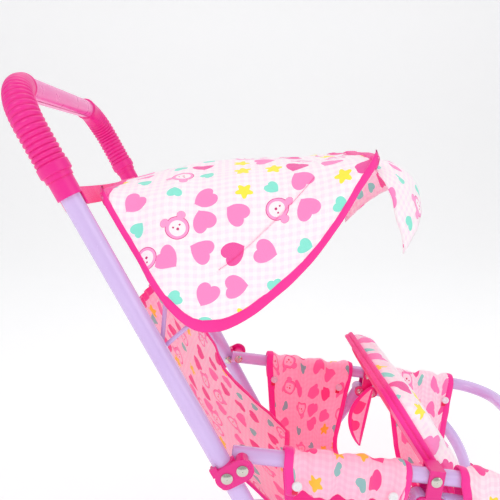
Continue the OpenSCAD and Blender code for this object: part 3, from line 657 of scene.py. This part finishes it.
# ---------------------------------------------------------------- rear backrest
def make_rear_backrest():
    """Cloth between the handle tubes, from under the canopy down to the rear seat's floor."""
    top, bottom = 146, -112
    widths = [(bottom, 106), (4, 108), (26, 127), (top, 127)]
    rows = []
    for i in range(61):
        z = bottom + (top - bottom) * i / 60
        low = max(0.0, (18 - z) / 130)
        half = lookup(z, widths)
        row = []
        for j in range(-44, 45):
            v = j / 44
            sag = 9 * (1 - v * v)
            fold = 1.6 * math.sin(v * 34) * max(0.0, (z - 70) / 76)
            x = HANDLE_X - 6.5 - sag + 34 * low ** 1.4 + fold
            row.append(on_handle(x, half * v, z))
        rows.append(row)
    rows = wrinkled(rows, (3.0, 40, 21.5), (1.0, 14, 2.5))
    back = cloth_sheet("rear_backrest_fabric", rows, PINK_SHADED_FRONT_PRINT, HOT_CLOTH)
    hems = [edge(rows, side) for side in ("start", "end", "first", "last")]
    binding = bound_edges("rear_backrest_binding", hems)
    for piece in (back, binding):
        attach(piece, "frame")
    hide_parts("rear_backrest")


# ---------------------------------------------------------------- seats
def seat_section(depth, ripple):
    """One half of a seat's section, as (y, n): from the lap outside the rail to the middle of the floor."""
    over = RAIL_R + 3.0 + ripple
    corner = 15
    half = [(RAIL_Y + over + 0.6, -24 - 1.6 * ripple), (RAIL_Y + over + 2.4 + ripple, -16),
            (RAIL_Y + over + 1.8, -8), (RAIL_Y + over, 0)]
    half += [(RAIL_Y + over * math.cos(math.radians(a)), over * math.sin(math.radians(a)))
             for a in range(15, 180, 15)]
    half += [(RAIL_Y - over, -5), (SEAT_WALL_Y, -16), (SEAT_WALL_Y, -depth + corner)]
    half += [(SEAT_WALL_Y - corner + corner * math.cos(math.radians(a)),
              -depth + corner - corner * math.sin(math.radians(a))) for a in range(15, 91, 15)]
    return half + [(y, -depth + 0.8 * (y / 90)) for y in (70, 40, 0)]


def make_seat(name, node, top, low, depth, face, seed):
    """A sling over both rails. top and low are its rear and front ends at the rail and at its floor."""
    count = 44
    rows = []
    for i in range(count + 1):
        f = i / count
        s_top = top[0] + (top[1] - top[0]) * f
        ripple = 1.3 * math.sin(s_top * 0.19 + seed) + 0.7 * math.sin(s_top * 0.41 + 2 * seed)
        half = seat_section(depth, ripple)
        full = half + [(-y, n) for y, n in reversed(half[:-1])]
        line = []
        for y, n in full:
            share = min(1.0, max(0.0, -n / depth))
            rear = top[0] + (low[0] - top[0]) * share
            front = top[1] + (low[1] - top[1]) * share
            line.append(on_rail(rear + (front - rear) * f, y, n))
        rows.append(resample(line, 190))
    rows = wrinkled(rows, (2.0, 36, seed), (0.9, 13, seed + 4))
    seat = cloth_sheet(name, rows, face, HOT_CLOTH, even=True)
    binding = bound_edges(name + "_binding", [edge(rows, "first"), edge(rows, "last")])
    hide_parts(node)
    return seat, binding


def make_seats():
    rear = make_seat("rear_seat_fabric", "rear_seat", (36, 143.6), (56, 137.6), 97, PINK_SHADED_SEAT_PRINT, 1.3)
    rail_normal = on_rail(0, 0, 1) - on_rail(0, 0, 0)
    for piece in rear:
        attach(piece, "seat_frame")
        on_rail(90, 0, 0)
        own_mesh(piece)
    front = make_seat("front_seat_fabric", "front_seat", (187.6, 273), (217.6, 277), 101, PINK_SHADED_FRONT_PRINT, 6.2)
    for piece in front:
        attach(piece, "seat_frame")
        on_rail(230, 0, 0)
        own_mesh(piece)


# ---------------------------------------------------------------- front backrest
VOXEL = 0.0042          # metres
AIR_PRESSURE = 4
PUFF_FRAMES = 20


def simulate_padding(piece, cap):
    """Puffs a closed pad with air pressure, and keeps each point within cap millimetres of its place."""
    remesh = piece.modifiers.new("remesh", "REMESH")
    remesh.mode = "VOXEL"
    remesh.voxel_size = VOXEL
    apply_modifiers(piece)
    before = [v.co.copy() for v in piece.data.vertices]
    cloth = piece.modifiers.new("cloth", "CLOTH")
    cloth.settings.use_pressure = True
    cloth.settings.uniform_pressure_force = AIR_PRESSURE
    cloth.settings.effector_weights.gravity = 0
    for step in range(1, PUFF_FRAMES + 1):
        bpy.context.scene.frame_set(step)
    apply_modifiers(piece)
    for vertex, start in zip(piece.data.vertices, before):
        move = vertex.co - start
        if move.length > cap * MM:
            vertex.co = start + move.normalized() * cap * MM
    bpy.context.scene.frame_set(1)


def board_half_width(up):
    """Half the backrest's width at a height: its upper corners are well rounded."""
    corner = 26
    rise = max(0.0, up - (BOARD_UP - corner))
    return BOARD_HALF_W - corner + math.sqrt(max(0.0, corner ** 2 - rise ** 2))


def board_point(u, v, out):
    """u and v run from -1 to 1 across and up the backrest."""
    up = (BOARD_UP + BOARD_DOWN) / 2 * v + (BOARD_UP - BOARD_DOWN) / 2
    return on_board(board_half_width(up) * u, up, out)


def board_grid(bulge, base):
    across, upward = 40, 36
    rows = []
    for i in range(upward + 1):
        v = math.sin(math.pi / 2 * (2 * i / upward - 1))
        row = []
        for j in range(across + 1):
            u = math.sin(math.pi / 2 * (2 * j / across - 1))
            crown = (max(0.0, 1 - u ** 6) * max(0.0, 1 - v ** 6)) ** 0.5
            row.append(board_point(u, v, base + bulge * crown))
        rows.append(row)
    return rows


def make_board():
    front, back = board_grid(13, BOARD_T / 2), board_grid(-2.5, -BOARD_T / 2)
    front = crumple(front, 1.6, 22, 31.0)
    mesh = bmesh.new()
    grids = [[[mesh.verts.new(p) for p in row] for row in rows] for rows in (front, back)]
    for grid in grids:
        for a, b in zip(grid, grid[1:]):
            for k in range(len(a) - 1):
                mesh.faces.new((a[k], a[k + 1], b[k + 1], b[k]))
    rims = []
    for grid in grids:
        up_one_side = [row[-1] for row in grid[1:]]
        down_the_other = [row[0] for row in grid[-2:0:-1]]
        rims.append(grid[0] + up_one_side + grid[-1][-2::-1] + down_the_other)
    for k in range(len(rims[0])):
        n = (k + 1) % len(rims[0])
        mesh.faces.new((rims[0][k], rims[0][n], rims[1][n], rims[1][k]))
    board = make_object("front_backrest_pad", mesh, [BOARD_CLOTH])
    simulate_padding(board, 5)
    face = heading(on_board, 0, 0, 1)
    for polygon in board.data.polygons:
        polygon.use_smooth = True
    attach(board, "seat_frame")
    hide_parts("front_backrest")
    outline = [board_point(u, v, 0) for u, v in [(k / 20, -1) for k in range(-20, 21)]
               + [(1, k / 40) for k in range(-40, 41)] + [(k / 20, 1) for k in range(20, -21, -1)]
               + [(-1, k / 40) for k in range(40, -41, -1)]]
    middle = on_board(0, -10, 0)
    line = [(p, (middle - p).normalized(), face) for p in resample(outline, 240)]
    for name, width, thick, out in (("front_backrest_binding", 9, 5.5, 0),
                                    ("front_backrest_piping", 5, 5, -5)):
        piping = bound_edges(name, [[(p + face * out * MM, i, n) for p, i, n in line]], width, thick)
        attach(piping, "seat_frame")


def make_side_wings():
    """Small bound gusset on each side, from the rail down behind the front backrest."""
    for side, name in ((1, "side_wing_left"), (-1, "side_wing_right")):
        rows = []
        for i in range(25):
            n = -12 - 78 * i / 24
            width = 2 + 20 * math.sin(math.pi * i / 24) ** 0.8
            lean = 172 - 4 * i / 24
            bow = [3 * math.sin(math.pi * j / 10) for j in range(11)]
            rows.append([on_rail(lean - width * j / 10, side * (SEAT_WALL_Y - 4 - bow[j]), n)
                         for j in range(11)])
        wing = cloth_sheet(name, rows, PINK_SHADED_SEAT_PRINT, PINK_SHADED_SEAT_PRINT)
        binding = bound_edges(name + "_binding", [edge(rows, "start"), edge(rows, "end")], 5, 2)
        for piece in (wing, binding):
            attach(piece, "seat_frame")


# ---------------------------------------------------------------- snaps
SNAP_PLACES = (48, 129.6, 199.6, 267)      # forward along the rail
SNAP_R = 4.4
SNAP_H = 2.2
SNAP_PROFILE = [(1.0, 0.0), (1.0, 0.35), (0.93, 0.75), (0.72, 1.0), (0.42, 0.97), (0.3, 0.7), (0.08, 0.62)]


def snap_cap(mesh, centre, axis, radius, height):
    """A flat-topped press snap cap with a dimple in its middle."""
    u = axis.orthogonal().normalized()
    v = axis.cross(u)
    rings = []
    for r, h in SNAP_PROFILE:
        ring = []
        for k in range(24):
            turn = k * math.pi / 12
            out = u * math.cos(turn) + v * math.sin(turn)
            ring.append(mesh.verts.new(centre + out * r * radius * MM + axis * h * height * MM))
        rings.append(ring)
    skin_rings(mesh, rings)


def make_snaps():
    """A cap inside each seat panel and one on the lap outside the rail, over a short red tab."""
    caps, tabs = bmesh.new(), []
    down, along = heading(on_rail, 0, 0, -1), heading(on_rail, 1, 0, 0)
    for s in SNAP_PLACES:
        for side in (-1, 1):
            inner = on_rail(s, side * (SEAT_WALL_Y - 1.6), -RAIL_R - 12)
            outer = on_rail(s, side * (RAIL_Y + RAIL_R + 7.0), -15)
            snap_cap(caps, inner, Vector((0, -side, 0)), SNAP_R, SNAP_H)
            snap_cap(caps, outer, Vector((0, side, 0)), SNAP_R, SNAP_H)
            for place in (inner, outer):
                tabs.append([(place + down * 2 * MM - along * 2.4 * MM + down * k * MM, along,
                              Vector((0, side, 0))) for k in (0, 2, 4, 6)])
    snaps = make_object("press_snaps", caps, [SNAP_WHITE])
    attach(snaps, "seat_frame")
    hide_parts("seat_snaps")
    tab = bound_edges("snap_tabs", tabs, 5, 0.8, TAB_RED)
    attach(tab, "seat_frame")


# ---------------------------------------------------------------- finish of the CAD nodes
FINISHES = (
    (ENAMEL, ("handle_tube", "seat_rail", "rear_leg", "front_leg", "canopy_front_bow", "canopy_mid_bow")),
    (PALE_PLASTIC, ("handle_sleeve",)),
    (GRIP_PLASTIC, ("collar", "grip")),
    (NICKEL, ("bracket_rivets", "rail_pivot_rivets", "bow_rivets", "leg_bracket_rivets", "leg_pivot_rivets",
              "rear_cross_rod", "front_cross_rod", "rear_axle", "front_axle")),
    (FOAM, ("rear_tyres", "front_tyres")),
    (HOT_PLASTIC, ("hinge_bracket", "lock_hook", "leg_bracket_left", "leg_bracket_right", "rear_rod_caps",
                   "rear_foot", "caster", "rear_wheels", "front_wheels")),
    (CANOPY_PRINT, ("canopy_cover", "canopy_visor", "rear_seat", "front_seat", "rear_backrest",
                    "front_backrest")),
    (SNAP_WHITE, ("seat_snaps",)))


def finish_nodes():
    for name, node in frame["nodes"].items():
        for material, starts in FINISHES:
            if name.startswith(starts):
                node.data.materials.clear()
                node.data.materials.append(material)
                break
        else:
            raise ValueError(f"no finish for {name}")


# ---------------------------------------------------------------- studio
def area_light(name, place, target, size, power):
    data = bpy.data.lights.new(name, "AREA")
    data.size = size
    data.energy = power
    light = bpy.data.objects.new(name, data)
    light.location = place
    light.rotation_euler = (Vector(target) - Vector(place)).to_track_quat("-Z", "Y").to_euler()
    bpy.context.scene.collection.objects.link(light)


def make_studio():
    """White paper that curves up behind the part, three soft lights and a white sky."""
    rows = []
    floor_half, flat_to, bend, wall = 4.0, 2.0, 1.5, 4.0
    profile = [(-floor_half, 0.0), (flat_to, 0.0)]
    profile += [(flat_to + bend * math.sin(math.radians(a)), bend - bend * math.cos(math.radians(a)))
                for a in range(6, 91, 6)]
    profile.append((flat_to + bend, wall + bend))
    for y, z in profile:
        rows.append([Vector((x, y, z)) for x in (-floor_half, 0, floor_half)])
    mesh = bmesh.new()
    grid = [[mesh.verts.new(p) for p in row] for row in rows]
    for a, b in zip(grid, grid[1:]):
        for k in range(2):
            mesh.faces.new((a[k], a[k + 1], b[k + 1], b[k]))
    paper = moulded("studio_paper", (252, 252, 253), (248, 248, 250), 0.8, 12.0, 0.0005,
                    Emission_Color=(1, 1, 1, 1), Emission_Strength=0.22)
    make_object("studio_floor", mesh, [paper], outward=False)
    area_light("key", (-1.2, -2.0, 2.2), (0, 0, 0.35), 1.6, 20)
    area_light("fill", (1.9, -1.4, 1.3), (0, 0, 0.35), 1.8, 11)
    area_light("top", (0.1, 0.5, 2.6), (0, 0, 0.3), 2.2, 13)
    world = bpy.data.worlds.new("studio")
    bpy.context.scene.world = world
    world.use_nodes = True
    world.node_tree.nodes["Background"].inputs[0].default_value = (1, 1, 1, 1)
    world.node_tree.nodes["Background"].inputs[1].default_value = 0.5
    bpy.context.scene.view_settings.view_transform = "Standard"


CAMERA_FROM_PIVOT = Vector((-0.0075, -0.578, 0.2461))
CAMERA_PITCH = math.radians(8.9)
CAMERA_YAW = math.radians(1.81)
LENS = 41.7


def make_camera():
    data = bpy.data.cameras.new("camera")
    data.lens = LENS
    data.sensor_width = 36
    camera = bpy.data.objects.new("camera", data)
    bpy.context.scene.collection.objects.link(camera)
    camera.location = PIVOT + CAMERA_FROM_PIVOT
    level = math.cos(CAMERA_PITCH)
    forward = Vector((math.sin(CAMERA_YAW) * level, math.cos(CAMERA_YAW) * level, -math.sin(CAMERA_PITCH)))
    camera.rotation_euler = forward.to_track_quat("-Z", "Y").to_euler()
    data.clip_start = 0.01
    bpy.context.scene.camera = camera


make_camera()
make_studio()
finish_nodes()
make_grip(1, "ribbed_grip_left")
make_grip(-1, "ribbed_grip_right")
make_canopy()
make_visor()
make_rear_band()
make_rear_backrest()
make_seats()
make_board()
make_side_wings()
make_snaps()
